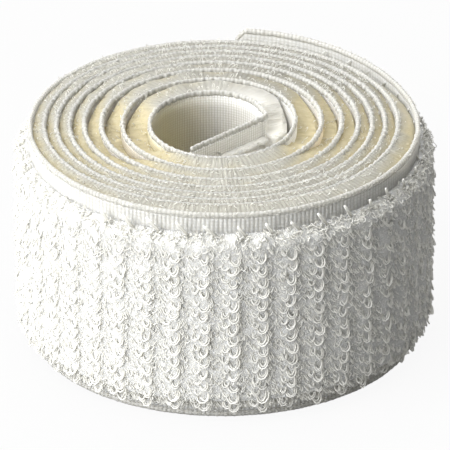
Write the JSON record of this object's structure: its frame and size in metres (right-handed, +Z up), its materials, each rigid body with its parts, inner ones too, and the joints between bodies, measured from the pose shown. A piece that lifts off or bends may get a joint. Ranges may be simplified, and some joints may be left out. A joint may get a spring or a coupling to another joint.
{
  "type": "loop tape roll",
  "caption": "Coreless roll of white woven loop tape standing on its edge, with a lifted outer end and an inner end that lies across the bore.",
  "frame": {"origin": "on the surface that the roll stands on, under the middle of its box", "axes": "+Z up along the winding axis, +Y towards the back, where the outer free end is, +X to the right"},
  "size_m": [0.047, 0.0474, 0.0254],
  "materials": {
    "ground_cloth": "dense plain weave of white nylon, resin-set, slightly translucent",
    "loop_pile": "soft shiny multifilament loops in columns",
    "edge_cord": "beaded woven selvedge"
  },
  "bodies": {
    "wound_roll": {"wound_backing": "ground_cloth", "wound_loop_pile": "loop_pile", "wound_upper_edge_cord": "edge_cord", "wound_lower_edge_cord": "edge_cord"},
    "outer_end": {"outer_end_backing": "ground_cloth", "outer_end_loop_pile": "loop_pile", "outer_end_upper_edge_cord": "edge_cord", "outer_end_lower_edge_cord": "edge_cord"},
    "inner_end": {"inner_end_backing": "ground_cloth", "inner_end_loop_pile": "loop_pile", "inner_end_upper_edge_cord": "edge_cord", "inner_end_lower_edge_cord": "edge_cord"}
  },
  "joints": [
    {"name": "peel_outer_end", "type": "hinge", "parent": "wound_roll", "child": "outer_end", "pos_m": [0.02114, 0.00396, 0.0127], "axis": [0, 0, -1], "range_deg": [0, 60], "stiffness_Nm_per_rad": 0.0003},
    {"name": "fold_inner_end", "type": "hinge", "parent": "wound_roll", "child": "inner_end", "pos_m": [0.00399, 0.00104, 0.0127], "axis": [0, 0, -1], "range_deg": [0, 50], "stiffness_Nm_per_rad": 0.0003}
  ]
}
